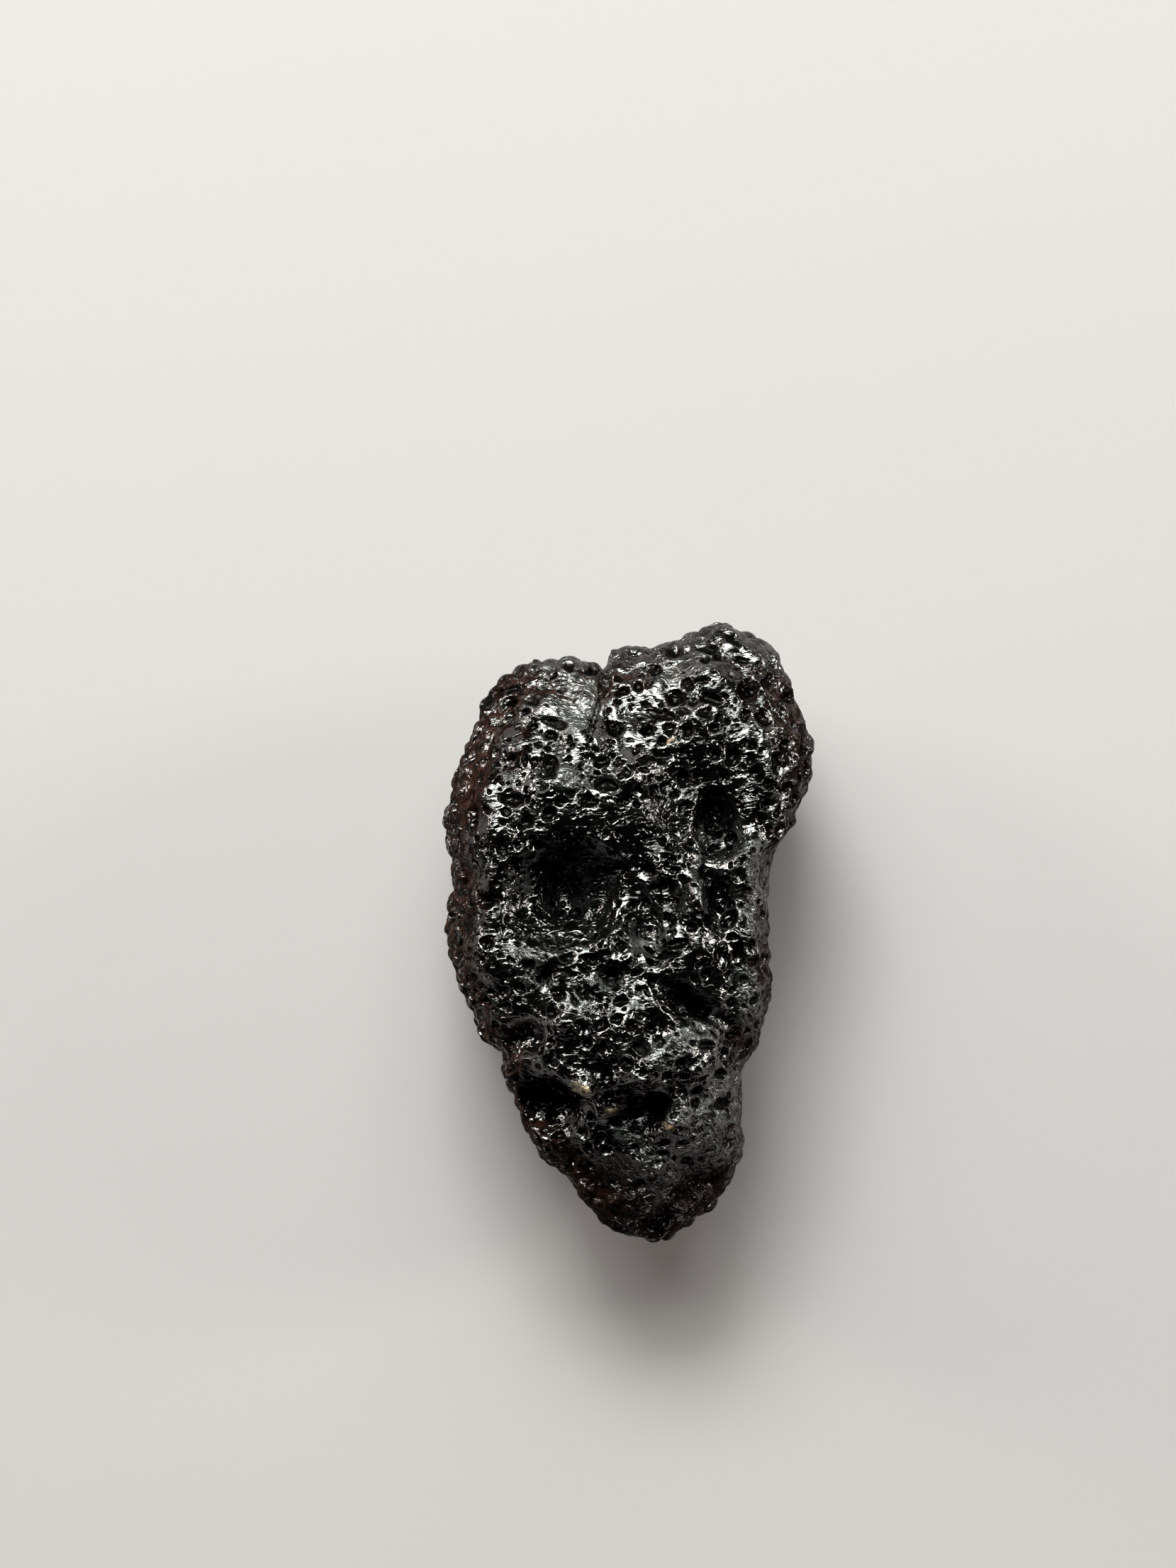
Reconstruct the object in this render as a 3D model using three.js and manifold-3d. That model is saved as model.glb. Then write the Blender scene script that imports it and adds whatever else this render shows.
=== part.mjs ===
// A tektite: one small stone of natural black glass, shaped like a blunt wedge and covered in
// etched hollows and round bubble pits. Millimetres, +Z up. +Y runs from the narrow tip to the
// broad notched end, +X is the side with the square shoulder, and the stone lies on a small flat
// spot of its underside at z = 0.
import * as THREE from "three";
import { mergeVertices } from "three/addons/utils/BufferGeometryUtils.js";
import Module from "manifold-3d";

const wasm = await Module();
wasm.setup();

// ---- driving dimensions, mm ----
const stoneWidth = 11.44; // along X
const stoneLength = 19.3; // along Y
const crownHeight = 4.1; // from the widest section up to the crown
const keelDepth = 4.2; // from the widest section down to the keel, before the flat spot
const flatSpotCut = 0.28; // how much of the keel the flat spot takes away
const edgeRoundness = 3.0; // 2 is an ellipsoid, more is squarer shoulders
const tipThinness = 0.34; // share of the thickness that is lost by the tip
const endThinness = 0.32; // share of the thickness that is lost by the broad end
const waistSway = 0.45; // how far the widest line sways up and down around the stone
const swellHeight = 0.13; // height of the low swells all over the skin
const swellLength = 2.3; // distance between those swells
const pitSides = 7; // sides of a bubble pit
const pitRings = 4; // rings of a bubble pit
const cells = { x: 17, y: 29, z: 13 }; // cells of the skin along each side
const upperShare = 0.22; // how far the cells crowd towards the upper side, radians

// The plan outline, clockwise from the notch in the broad end.
const outline = [
  [-0.64, 8.83], [0.35, 8.9], [1.01, 8.99], [1.58, 9.16], [2.46, 9.49], [3.04, 9.65],
  [3.52, 9.38], [4.09, 9.14], [4.5, 8.88], [4.64, 8.37], [4.91, 7.95], [5.08, 7.6],
  [5.15, 7.2], [5.39, 6.83], [5.54, 6.35], [5.72, 5.93], [5.63, 5.51], [5.63, 4.94],
  [5.48, 4.41], [5.21, 3.84], [5.08, 3.4], [4.62, 2.87], [4.42, 2.43], [4.31, 1.57],
  [4.29, 0.58], [4.27, -0.32], [4.36, -0.65], [4.4, -1.53], [4.16, -2.8], [3.96, -3.4],
  [3.59, -4.01], [3.48, -4.46], [3.52, -5.09], [3.48, -6.06], [3.56, -6.7], [3.34, -7.36],
  [2.86, -8.24], [2.29, -8.85], [1.47, -9.36], [0.75, -9.65], [0.09, -9.49], [-0.92, -8.99],
  [-1.54, -8.26], [-1.89, -7.53], [-2.86, -6.68], [-3.43, -5.47], [-3.89, -4.34],
  [-3.94, -3.86], [-4.6, -3.13], [-4.99, -2.17], [-5.43, -1.22], [-5.68, 0.25], [-5.61, 0.98],
  [-5.46, 1.33], [-5.52, 1.86], [-5.5, 2.34], [-5.72, 2.8], [-5.72, 3.33], [-5.59, 4.37],
  [-5.13, 5.73], [-4.71, 6.7], [-4.58, 7.16], [-4.09, 7.8], [-3.65, 8.17], [-3.08, 8.44],
  [-2.35, 8.48], [-1.5, 8.55], [-0.99, 8.42],
];

// Broad relief of the upper side. at: centre in plan, half: half length and half width,
// turn: degrees anticlockwise, rise: height above the skin, less than 0 for a hollow.
const upperRelief = [
  { name: "left crest", at: [-1.94, 4.41], half: [5.34, 2.96], turn: 4, rise: 0.6 },
  { name: "smooth shoulder", at: [-1.94, 6.74], half: [2.02, 1.42], turn: 0, rise: 0.25 },
  { name: "right crest", at: [2.79, 6.96], half: [2.96, 2.02], turn: 15, rise: 0.3 },
  { name: "square shoulder", at: [4.55, 5.75], half: [1.54, 1.9], turn: 0, rise: 0.45 },
  { name: "rib beside the left flank", at: [-4.36, 1.9], half: [4.74, 0.85], turn: 92, rise: 0.4 },
  { name: "middle valley", at: [-0.62, 1.51], half: [5.57, 2.49], turn: 0, rise: -0.7 },
  { name: "middle hollow", at: [-1.87, 1.29], half: [2.13, 1.9], turn: 0, rise: -1.6 },
  { name: "right hollow", at: [2.66, 3.4], half: [1.28, 0.9], turn: 95, rise: -1 },
  { name: "right dell", at: [2.11, 4.67], half: [1.28, 1.23], turn: 0, rise: -0.45 },
  { name: "right fall", at: [1.98, 3.62], half: [2.73, 1.9], turn: -30, rise: -0.6 },
  { name: "lower right hollow", at: [2.68, 1.07], half: [1.19, 0.57], turn: 98, rise: -0.6 },
  { name: "slanted rib", at: [1.91, 1.13], half: [1.78, 0.71], turn: 100, rise: 0.5 },
  { name: "knoll under the rib", at: [2.13, -0.41], half: [1.19, 1], turn: 0, rise: 0.35 },
  { name: "slanted groove", at: [0.44, 0.36], half: [1.71, 0.76], turn: 108, rise: -0.75 },
  { name: "hollow beside the left rib", at: [-2.99, 0.41], half: [1.57, 1.14], turn: 0, rise: -0.25 },
  { name: "left knoll", at: [-2.88, -1.13], half: [1.57, 1], turn: 0, rise: 0.12 },
  { name: "belly", at: [-0.07, -3.49], half: [5.1, 2.96], turn: 8, rise: 0.65 },
  { name: "rib beside the right flank", at: [3.78, 0.58], half: [3.08, 0.76], turn: 90, rise: 0.35 },
  { name: "diagonal hollow", at: [1.89, -2.12], half: [1.94, 0.71], turn: -35, rise: -0.95 },
  { name: "diagonal shelf", at: [1.58, -3.88], half: [2.25, 1.33], turn: 20, rise: 0.6 },
  { name: "side hollow", at: [3.26, -2.54], half: [1, 0.62], turn: -45, rise: -0.3 },
  { name: "cave", at: [-2.42, -5.14], half: [1.52, 1.23], turn: -20, rise: -1.5 },
  { name: "round hollow", at: [-3.21, -3.05], half: [0.9, 0.81], turn: 0, rise: -0.65 },
  { name: "shelf hollow", at: [0.22, -5.18], half: [1.47, 0.9], turn: -8, rise: -0.7 },
  { name: "knob", at: [-1.45, -4.59], half: [0.81, 0.69], turn: -30, rise: 0.5 },
  { name: "ledge", at: [-0.57, -5.27], half: [1.23, 0.47], turn: 8, rise: 0.3 },
  { name: "lower right cheek", at: [2.79, -6.02], half: [1.42, 2.61], turn: 0, rise: 0.35 },
  { name: "tip hollow", at: [0.66, -8.92], half: [0.95, 0.71], turn: 0, rise: -0.4 },
  { name: "tip side hollow", at: [2.13, -7.73], half: [1.38, 0.85], turn: 25, rise: -0.4 },
  { name: "tip left dell", at: [-0.84, -7.56], half: [0.95, 1.42], turn: 30, rise: -0.3 },
  { name: "top knoll", at: [1.85, 6.3], half: [1.52, 0.9], turn: -15, rise: 0.24 },
  { name: "end lip", at: [-1.67, 8.11], half: [1.47, 0.81], turn: -8, rise: 0.3 },
  { name: "small knoll", at: [-1.65, -2.58], half: [0.76, 0.62], turn: 0, rise: 0.3 },
  { name: "shelf end", at: [0, -4.3], half: [1.04, 0.62], turn: 10, rise: 0.28 },
  { name: "cheek knoll", at: [1.58, -6.02], half: [1.66, 1.47], turn: 10, rise: 0.6 },
];

// Broad relief of the underside, in the same words, where rise is outward.
const underRelief = [
  { name: "long trough", at: [-2.9, 4.4], half: [2.6, 1.2], turn: 70, rise: -0.6 },
  { name: "end hollow", at: [2.6, 6.6], half: [1.7, 1.3], turn: 20, rise: -0.6 },
  { name: "flank hollow", at: [3, -3.4], half: [1.6, 1], turn: 75, rise: -0.6 },
  { name: "tip hollow", at: [-0.8, -6.6], half: [1.6, 1.1], turn: -50, rise: -0.5 },
  { name: "left swell", at: [-3.3, -0.9], half: [2.4, 1.3], turn: 80, rise: 0.35 },
  { name: "right swell", at: [2.9, 2.2], half: [2.4, 1.2], turn: 95, rise: 0.3 },
];

// Bubble pits of the upper side: centre in plan, half length, half width, turn in degrees.
const upperPits = [
  [-1.3, 8.05, 0.42, 0.16, 0], [-3.6, 7.35, 0.36, 0.26, 0], [-3.0, 7.16, 0.27, 0.24, 0],
  [-2.27, 6.5, 0.48, 0.22, -10], [-2.53, 5.18, 0.42, 0.4, 0], [-0.24, 7.49, 0.31, 0.22, 10],
  [-0.44, 6.3, 0.33, 0.28, 0], [0.51, 6.3, 0.3, 0.28, 0], [-0.18, 5.05, 0.29, 0.26, 0],
  [-0.79, 4.63, 0.57, 0.29, -12], [1.28, 8.64, 0.37, 0.34, 0], [2.35, 8.69, 0.53, 0.2, 0],
  [3.17, 8.97, 0.35, 0.22, -40], [2.46, 7.25, 0.68, 0.27, -25], [1.36, 7.27, 0.35, 0.3, 0],
  [2.31, 6.79, 0.35, 0.24, 10], [3.63, 7.51, 0.42, 0.38, 0], [4.18, 7.75, 0.28, 0.26, 90],
  [4.07, 6.63, 0.44, 0.26, -60], [1.06, 6.74, 0.7, 0.2, -8], [4.44, 5.25, 0.53, 0.2, 90],
  [0.92, 5.51, 0.53, 0.24, 0], [-3.59, 4.17, 0.48, 0.28, -5], [-3.12, 3.51, 0.31, 0.28, 0],
  [-0.33, 2.06, 0.33, 0.3, 0], [-3.87, 2.67, 0.34, 0.24, 90], [-4.33, 1.11, 0.36, 0.3, 0],
  [-4.33, -0.19, 0.27, 0.25, 0], [-3.12, -0.8, 0.28, 0.25, 0], [-0.35, -0.21, 0.48, 0.46, 0],
  [-0.62, -1.2, 0.48, 0.42, 0], [-1.91, -0.56, 0.3, 0.24, 0], [-2.57, -1.22, 0.48, 0.3, 85],
  [1.83, 2.78, 0.3, 0.24, -20], [0.51, 1.99, 0.34, 0.32, 0], [4.1, 3.97, 0.26, 0.24, 0],
  [2.73, -0.54, 0.44, 0.26, 80], [3.4, -0.41, 0.35, 0.24, 90], [2.4, 0.56, 0.27, 0.25, 0],
  [1.36, -0.3, 0.53, 0.2, 10], [0.26, -3.29, 0.38, 0.32, 0], [2.24, -3.18, 0.34, 0.2, 0],
  [2.82, -4.17, 0.3, 0.24, 0], [2.82, -5.14, 0.46, 0.3, 0], [-0.44, -5.9, 0.31, 0.24, 0],
  [1.2, -3.9, 0.3, 0.24, 0], [2.57, 5.53, 0.28, 0.28, 0], [1.58, 3.88, 0.28, 0.24, 60],
];

// Bubble pits of the flanks and the underside lie on a spiral.
const spiralPits = { count: 36, lowest: -0.97, highest: 0.12, smallest: 0.28, largest: 0.62 };
const pitDepthShare = 1.1; // depth of a pit, as a share of its half width
const pitSink = 0.2; // how far a pit's centre stands off the skin, as a share of its half width

// The crack that runs in from the notch of the broad end.
const crack = { start: [-0.72, 9.1], end: [-0.95, 6.9], mouth: 0.5, depth: 1.2 };

// Black natural glass, glossy.
const tektiteMaterial = new THREE.MeshStandardMaterial({
  color: new THREE.Color(0.035, 0.034, 0.032),
  roughness: 0.18,
  metalness: 0,
});

// ---- the smooth body: every point is reached from a direction ----

// How far the outline stands from the plain ellipse, at each angle of a full turn.
const outlineShares = makeOutlineShares();

function makeOutlineShares() {
  const curve = new THREE.CatmullRomCurve3(
    outline.map(([x, y]) => new THREE.Vector3(x / (stoneWidth / 2), y / (stoneLength / 2), 0)),
    true,
  );
  return curve
    .getPoints(outline.length * 8)
    .map((point) => ({ angle: Math.atan2(point.y, point.x), share: Math.hypot(point.x, point.y) }))
    .sort((a, b) => a.angle - b.angle);
}

function outlineShare(angle) {
  const after = outlineShares.findIndex((sample) => sample.angle > angle);
  const next = outlineShares[after < 0 ? 0 : after];
  const last = outlineShares.at(after < 0 ? -1 : after - 1);
  const turn = 2 * Math.PI;
  const gap = (next.angle - last.angle + turn) % turn;
  const way = (angle - last.angle + turn) % turn;
  return THREE.MathUtils.lerp(last.share, next.share, gap > 0 ? Math.min(way / gap, 1) : 0);
}

// Share of the full thickness at a place along the stone.
function thicknessAt(y) {
  const along = y / (stoneLength / 2);
  const tip = THREE.MathUtils.smoothstep(-along, -0.1, 1);
  const end = THREE.MathUtils.smoothstep(along, 0.05, 1.05);
  return 1 - tipThinness * tip - endThinness * end;
}

// Height that a list of swells and hollows adds at a place in plan: each is a smooth bell that
// ends at its own ellipse.
function reliefAt(list, x, y) {
  let rise = 0;
  for (const form of list) {
    const turn = THREE.MathUtils.degToRad(form.turn);
    const dx = x - form.at[0];
    const dy = y - form.at[1];
    const along = (dx * Math.cos(turn) + dy * Math.sin(turn)) / form.half[0];
    const across = (dy * Math.cos(turn) - dx * Math.sin(turn)) / form.half[1];
    const inside = 1 - along * along - across * across;
    if (inside > 0) rise += form.rise * inside * inside;
  }
  return rise;
}

// Low swells all over: three crossed waves. They push the flanks inward only, so that the plan
// outline stays the widest line.
function swellAt(point) {
  const pitch = (2 * Math.PI) / swellLength;
  const first = Math.sin(point.x * pitch + 1.7 * Math.sin(point.y * 0.9));
  const second = Math.sin(point.y * pitch * 0.9 + 1.3 * Math.sin(point.z * 1.1));
  const third = Math.sin(point.z * pitch * 1.1 + 1.5 * Math.sin(point.x * 0.8));
  return swellHeight * (first * second + second * third + third * first);
}

// The skin point for a direction: a squared-off ellipsoid whose plan is the outline.
function skinPoint(direction) {
  const outward = Math.pow(Math.hypot(direction.x, direction.y), edgeRoundness);
  const upward = Math.pow(Math.abs(direction.z), edgeRoundness);
  const unit = direction.clone().divideScalar(Math.pow(outward + upward, 1 / edgeRoundness));
  const share = outlineShare(Math.atan2(unit.y, unit.x));
  const x = unit.x * share * (stoneWidth / 2);
  const y = unit.y * share * (stoneLength / 2);
  const reach = unit.z > 0 ? crownHeight : keelDepth;
  const point = new THREE.Vector3(x, y, unit.z * reach * thicknessAt(y));
  const facing = THREE.MathUtils.smoothstep(Math.abs(unit.z), 0, 0.6);
  const relief = reliefAt(unit.z > 0 ? upperRelief : underRelief, x, y);
  point.z += Math.sign(unit.z) * facing * relief + waistAt(unit);
  const swell = swellAt(point);
  const inward = Math.min(swell, 0) * THREE.MathUtils.smoothstep(Math.abs(unit.z), 0, 0.3);
  point.x += direction.x * inward;
  point.y += direction.y * inward;
  point.z += direction.z * swell;
  return point;
}

// The widest line sways up and down on its way around, and not at the crown or the keel.
function waistAt(unit) {
  const angle = Math.atan2(unit.y, unit.x);
  const sway = Math.sin(2 * angle + 0.7) + 0.6 * Math.sin(3 * angle + 2);
  return waistSway * sway * (1 - unit.z * unit.z);
}

// The direction whose skin point stands over a place in plan, on the upper side.
function directionOver(x, y) {
  const across = x / (stoneWidth / 2);
  const along = y / (stoneLength / 2);
  const share = outlineShare(Math.atan2(along, across));
  const outward = Math.pow(Math.hypot(across, along) / share, edgeRoundness);
  const up = Math.pow(Math.max(1 - outward, 0.0001), 1 / edgeRoundness);
  return new THREE.Vector3(across / share, along / share, up).normalize();
}

// The outward normal of the skin, from two short steps along it.
function skinNormal(direction) {
  const step = 0.03;
  const side = new THREE.Vector3(-direction.y, direction.x, 0).normalize();
  const up = new THREE.Vector3().crossVectors(direction, side);
  const here = skinPoint(direction);
  const aside = skinPoint(direction.clone().addScaledVector(side, step).normalize()).sub(here);
  const above = skinPoint(direction.clone().addScaledVector(up, step).normalize()).sub(here);
  return aside.cross(above).normalize();
}

// ---- solids ----

function toManifold(geometry) {
  const bare = geometry.clone();
  bare.deleteAttribute("normal");
  bare.deleteAttribute("uv");
  const merged = mergeVertices(bare, 1e-4);
  return new wasm.Manifold(new wasm.Mesh({
    numProp: 3,
    vertProperties: new Float32Array(merged.attributes.position.array),
    triVerts: new Uint32Array(merged.index.array),
  }));
}

function toGeometry(manifold) {
  const mesh = manifold.getMesh();
  const geometry = new THREE.BufferGeometry();
  geometry.setAttribute("position", new THREE.BufferAttribute(mesh.vertProperties, 3));
  geometry.setIndex(new THREE.BufferAttribute(mesh.triVerts, 1));
  return geometry;
}

// The skin: a box of cells, each corner sent out to the skin along its own direction.
function makeBody() {
  const box = new THREE.BoxGeometry(2, 2, 2, cells.x, cells.y, cells.z);
  const position = box.attributes.position;
  const corner = new THREE.Vector3();
  for (let i = 0; i < position.count; i += 1) {
    corner.fromBufferAttribute(position, i);
    corner.set(evenCell(corner.x), evenCell(corner.y), evenCell(corner.z)).normalize();
    const point = skinPoint(crowdUpwards(corner));
    position.setXYZ(i, point.x, point.y, point.z);
  }
  return toManifold(box);
}

// Spreads the cells of a box face evenly over the part of the ball that it covers.
function evenCell(value) {
  return Math.tan((value * Math.PI) / 4);
}

// Moves a direction up, most of all at the waist, so that the upper side gets more cells.
function crowdUpwards(direction) {
  const polar = Math.acos(THREE.MathUtils.clamp(direction.z, -1, 1));
  const raised = polar - upperShare * Math.sin(polar) ** 2;
  const ring = Math.hypot(direction.x, direction.y) || 1;
  const out = Math.sin(raised) / ring;
  return new THREE.Vector3(direction.x * out, direction.y * out, Math.cos(raised));
}

// One bubble: a flattened ball pressed into the skin along its normal.
function makeBubble(direction, halfLength, halfWidth, turn) {
  const normal = skinNormal(direction);
  const centre = skinPoint(direction).addScaledVector(normal, halfWidth * pitSink);
  const ball = new THREE.SphereGeometry(1, pitSides, pitRings);
  ball.rotateX(Math.PI / 2);
  ball.scale(halfLength, halfWidth, halfWidth * pitDepthShare);
  ball.rotateZ(THREE.MathUtils.degToRad(turn));
  const tilt = new THREE.Quaternion().setFromUnitVectors(new THREE.Vector3(0, 0, 1), normal);
  ball.applyQuaternion(tilt);
  ball.translate(centre.x, centre.y, centre.z);
  return toManifold(ball);
}

function makeUpperBubbles() {
  return upperPits.map(([x, y, halfLength, halfWidth, turn]) =>
    makeBubble(directionOver(x, y), halfLength, halfWidth, turn));
}

// Bubbles of the flanks and the underside, on a golden-angle spiral with mixed sizes.
function makeSpiralBubbles() {
  const goldenAngle = Math.PI * (3 - Math.sqrt(5));
  const bubbles = [];
  for (let i = 0; i < spiralPits.count; i += 1) {
    const rise = THREE.MathUtils.lerp(
      spiralPits.lowest,
      spiralPits.highest,
      (i + 0.5) / spiralPits.count,
    );
    const ring = Math.sqrt(1 - rise * rise);
    const angle = i * goldenAngle;
    const direction = new THREE.Vector3(ring * Math.cos(angle), ring * Math.sin(angle), rise);
    const mix = (Math.sin(i * 12.9) + 1) / 2;
    const halfLength = THREE.MathUtils.lerp(spiralPits.smallest, spiralPits.largest, mix * mix);
    bubbles.push(makeBubble(direction, halfLength, halfLength * 0.8, i * 47));
  }
  return bubbles;
}

// The crack: a thin wedge, open at the notch and on the upper side.
function makeCrack() {
  const [startX, startY] = crack.start;
  const [endX, endY] = crack.end;
  const shape = new THREE.Shape([
    new THREE.Vector2(startX - crack.mouth / 2, startY),
    new THREE.Vector2(endX, endY),
    new THREE.Vector2(startX + crack.mouth / 2, startY),
  ]);
  const wedge = new THREE.ExtrudeGeometry(shape, { depth: crownHeight * 2, bevelEnabled: false });
  const floor = skinPoint(directionOver(endX, endY)).z - crack.depth;
  wedge.translate(0, 0, floor);
  return toManifold(wedge);
}

// The slab that the flat spot is cut with.
function makeFlatCut() {
  const slab = new THREE.BoxGeometry(stoneWidth * 2, stoneLength * 2, keelDepth);
  slab.translate(0, 0, -keelDepth + flatSpotCut - keelDepth / 2);
  return toManifold(slab);
}

function makeTektite() {
  let stone = makeBody();
  for (const bubble of [...makeUpperBubbles(), ...makeSpiralBubbles()]) {
    stone = stone.subtract(bubble);
  }
  stone = stone.subtract(makeCrack()).subtract(makeFlatCut());
  const geometry = toGeometry(stone);
  geometry.computeBoundingBox();
  const box = geometry.boundingBox;
  const middle = box.getCenter(new THREE.Vector3());
  geometry.translate(-middle.x, -middle.y, -box.min.z);
  geometry.computeVertexNormals();
  const mesh = new THREE.Mesh(geometry, tektiteMaterial);
  mesh.name = "tektite";
  return mesh;
}

const tektite = new THREE.Group();
tektite.add(makeTektite());

export default tektite;
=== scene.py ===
# A tektite: one small stone of natural black glass, glossy, hollowed and pitted all over.
# The scene is in metres and in the frame of the CAD part. The stone's own values are in
# millimetres, with x across it, y from the narrow tip to the broad notched end, and z up.
import math

import bpy
import numpy as np
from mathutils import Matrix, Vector


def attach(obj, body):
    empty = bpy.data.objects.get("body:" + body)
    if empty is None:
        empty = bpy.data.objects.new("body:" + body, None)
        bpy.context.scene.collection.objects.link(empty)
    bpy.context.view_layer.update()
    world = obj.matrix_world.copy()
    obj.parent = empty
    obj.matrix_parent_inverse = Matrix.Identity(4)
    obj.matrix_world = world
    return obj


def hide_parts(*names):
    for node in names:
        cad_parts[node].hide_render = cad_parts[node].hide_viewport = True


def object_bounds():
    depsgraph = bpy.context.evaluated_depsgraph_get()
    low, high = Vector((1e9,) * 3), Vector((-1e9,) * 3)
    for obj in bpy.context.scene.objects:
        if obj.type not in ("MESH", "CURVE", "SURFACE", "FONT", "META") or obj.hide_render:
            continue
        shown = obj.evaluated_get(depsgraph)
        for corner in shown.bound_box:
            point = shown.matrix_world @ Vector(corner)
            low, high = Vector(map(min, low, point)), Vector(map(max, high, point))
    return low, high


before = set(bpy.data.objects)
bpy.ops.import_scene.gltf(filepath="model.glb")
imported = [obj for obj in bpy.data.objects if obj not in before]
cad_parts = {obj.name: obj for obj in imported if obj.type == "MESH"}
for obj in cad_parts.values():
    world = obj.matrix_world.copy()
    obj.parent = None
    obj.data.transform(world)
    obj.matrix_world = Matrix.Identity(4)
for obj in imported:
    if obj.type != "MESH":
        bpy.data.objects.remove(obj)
cadLow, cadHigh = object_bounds()
scene = bpy.context.scene
mm = 0.001
farAway = 9.0  # further than any cell, pit or crack that is looked for


# noise, worked out for whole arrays of points at once

def hashShare(ix, iy, iz, seed):
    # a fixed pseudo-random number from 0 to 1 for each whole-numbered cell: its three numbers and
    # the seed, times large odd numbers, are folded together and stirred
    n = (ix * 73856093) ^ (iy * 19349663) ^ (iz * 83492791) ^ (seed * 668265263)
    n = n & 0xffffffff
    n = ((n ^ (n >> 15)) * 2246822519) & 0xffffffff
    n = ((n ^ (n >> 13)) * 3266489917) & 0xffffffff
    return (n ^ (n >> 16)) / 2.0 ** 32


def smoothNoise(points, cellSize, seed):
    # random values at the corners of cubes, blended by 3t*t - 2t*t*t along each axis, -1 to 1
    scaled = points / cellSize
    whole = np.floor(scaled).astype(np.int64)
    part = scaled - whole
    blend = part * part * (3 - 2 * part)
    total = np.zeros(len(points))
    for corner in range(8):
        step = np.array([corner & 1, corner >> 1 & 1, corner >> 2])
        cell = whole + step
        weight = np.prod(np.where(step == 1, blend, 1 - blend), axis=1)
        total += weight * hashShare(cell[:, 0], cell[:, 1], cell[:, 2], seed)
    return total * 2 - 1


def layeredNoise(points, cellSize, seed, layers):
    # smooth noise added to itself at half the size and half the height, again and again
    total = np.zeros(len(points))
    height = 1.0
    for layer in range(layers):
        total += height * smoothNoise(points + layer * 17.3, cellSize / 2 ** layer, seed + layer)
        height /= 2
    return total


def nearestSeeds(points, cellSize, seed):
    # one seed point in each cube: the distance to the nearest and its number, 0 to 1
    scaled = points / cellSize
    whole = np.floor(scaled).astype(np.int64)
    nearest = np.full(len(points), farAway)
    number = np.zeros(len(points))
    for dx in (-1, 0, 1):
        for dy in (-1, 0, 1):
            for dz in (-1, 0, 1):
                cx, cy, cz = whole[:, 0] + dx, whole[:, 1] + dy, whole[:, 2] + dz
                away = np.sqrt(
                    (cx + hashShare(cx, cy, cz, seed) - scaled[:, 0]) ** 2
                    + (cy + hashShare(cx, cy, cz, seed + 1) - scaled[:, 1]) ** 2
                    + (cz + hashShare(cx, cy, cz, seed + 2) - scaled[:, 2]) ** 2)
                nearer = away < nearest
                number = np.where(nearer, hashShare(cx, cy, cz, seed + 3), number)
                nearest = np.where(nearer, away, nearest)
    return nearest * cellSize, number


def smoothStep(value, low, high):
    # 0 below low, 1 above high, and 3t*t - 2t*t*t between
    t = np.clip((value - low) / (high - low), 0, 1)
    return t * t * (3 - 2 * t)


# the stone's form

stone = {
    "width": 11.44,
    "length": 19.3,
    "crownHeight": 4.1,  # of the upper side, over the widest line
    "keelDepth": 4.2,  # of the underside, under it
    "flatSpotCut": 0.28,  # how much of the keel the flat resting spot takes off
    "edgeRoundness": 3.0,  # 2 is a plain ellipse, and more is squarer
    "tipThinness": 0.34,  # share of the thickness lost at the narrow tip
    "endThinness": 0.32,  # and at the broad end
    "waistSway": 0.45,  # how far the widest line goes up and down
    "swellHeight": 0.13,
    "swellLength": 2.3,
    "outlineSteps": 12,  # steps of the curve from one outline point to the next
    "upperCells": (170, 288),  # cells across and along the upper side, both even
    "upperRows": 24,  # rows of cells from there down to the widest line
    "lowerRows": 30,  # rows below it, with half as many cells around
    "upperRowShare": 0.3,  # share of the side that the upper rows take
    "spread": 0.52,  # how far the upper cells spread towards the rim, radians
}

# the plan outline, clockwise from the notch in the broad end
outline = [
    (-0.66, 8.62), (-0.53, 8.83), (0.35, 8.9), (0.68, 8.83), (1.01, 8.99), (1.58, 9.16),
    (2.07, 9.32), (2.46, 9.49), (2.75, 9.62), (3.04, 9.65), (3.28, 9.56), (3.52, 9.38),
    (4.09, 9.14), (4.44, 8.92), (4.6, 8.68), (4.64, 8.37), (4.91, 7.95), (5.08, 7.6),
    (5.15, 7.2), (5.39, 6.83), (5.54, 6.35), (5.72, 5.93), (5.63, 5.51), (5.63, 4.94),
    (5.48, 4.41), (5.21, 3.84), (5.08, 3.4), (4.62, 2.87), (4.42, 2.43), (4.31, 1.57),
    (4.29, 0.58), (4.33, 0.12), (4.27, -0.32), (4.36, -0.65), (4.29, -1), (4.4, -1.53),
    (4.16, -2.8), (3.96, -3.4), (3.59, -4.01), (3.48, -4.46), (3.52, -5.09), (3.48, -6.06),
    (3.56, -6.7), (3.34, -7.36), (2.86, -8.24), (2.29, -8.85), (1.47, -9.36), (0.75, -9.65),
    (0.09, -9.49), (-0.62, -9.16), (-0.92, -8.99), (-1.54, -8.26), (-1.78, -7.82),
    (-1.89, -7.53), (-2.4, -7.14), (-2.86, -6.68), (-3.43, -5.47), (-3.89, -4.34),
    (-3.94, -3.86), (-4.6, -3.13), (-4.99, -2.17), (-5.43, -1.22), (-5.68, 0.25),
    (-5.61, 0.98), (-5.46, 1.33), (-5.52, 1.86), (-5.5, 2.34), (-5.7, 2.69), (-5.72, 3.33),
    (-5.59, 4.37), (-5.13, 5.73), (-4.71, 6.7), (-4.58, 7.16), (-4.09, 7.8), (-3.65, 8.17),
    (-3.08, 8.44), (-2.35, 8.48), (-1.94, 8.59), (-1.5, 8.55), (-0.99, 8.39), (-0.82, 8.2),
]

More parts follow.
